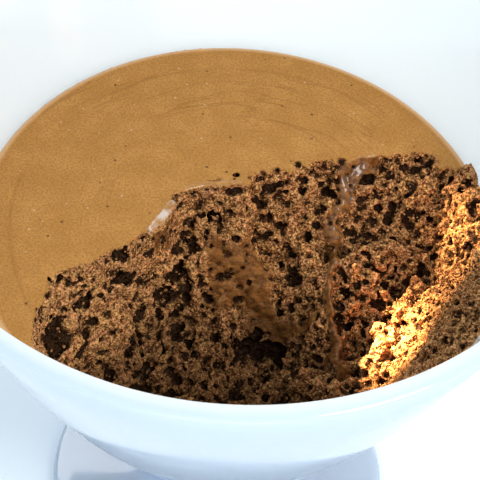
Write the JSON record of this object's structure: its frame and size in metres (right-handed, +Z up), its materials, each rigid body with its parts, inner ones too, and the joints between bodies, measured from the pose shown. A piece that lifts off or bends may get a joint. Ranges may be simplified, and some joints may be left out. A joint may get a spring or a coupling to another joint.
{
  "type": "chocolate mousse in a footed glass bowl",
  "caption": "Footed white opal-glass dessert bowl holding an airy chocolate mousse with a smooth top and a deep torn hollow where it was spooned out.",
  "frame": {"origin": "on the table under the middle of the foot, on the axis of the bowl", "axes": "+Z up along the bowl's axis; -Y is the side the hollow opens to, +Y the side where the smooth top is left; +X to the right seen from -Y"},
  "size_m": [0.1114, 0.1114, 0.108],
  "materials": {
    "opal_glass": "glossy white opal glass, opaque, faintly cool",
    "chocolate_mousse": null
  },
  "bodies": {
    "root": {"glass": "opal_glass", "mousse": "chocolate_mousse"}
  },
  "joints": []
}
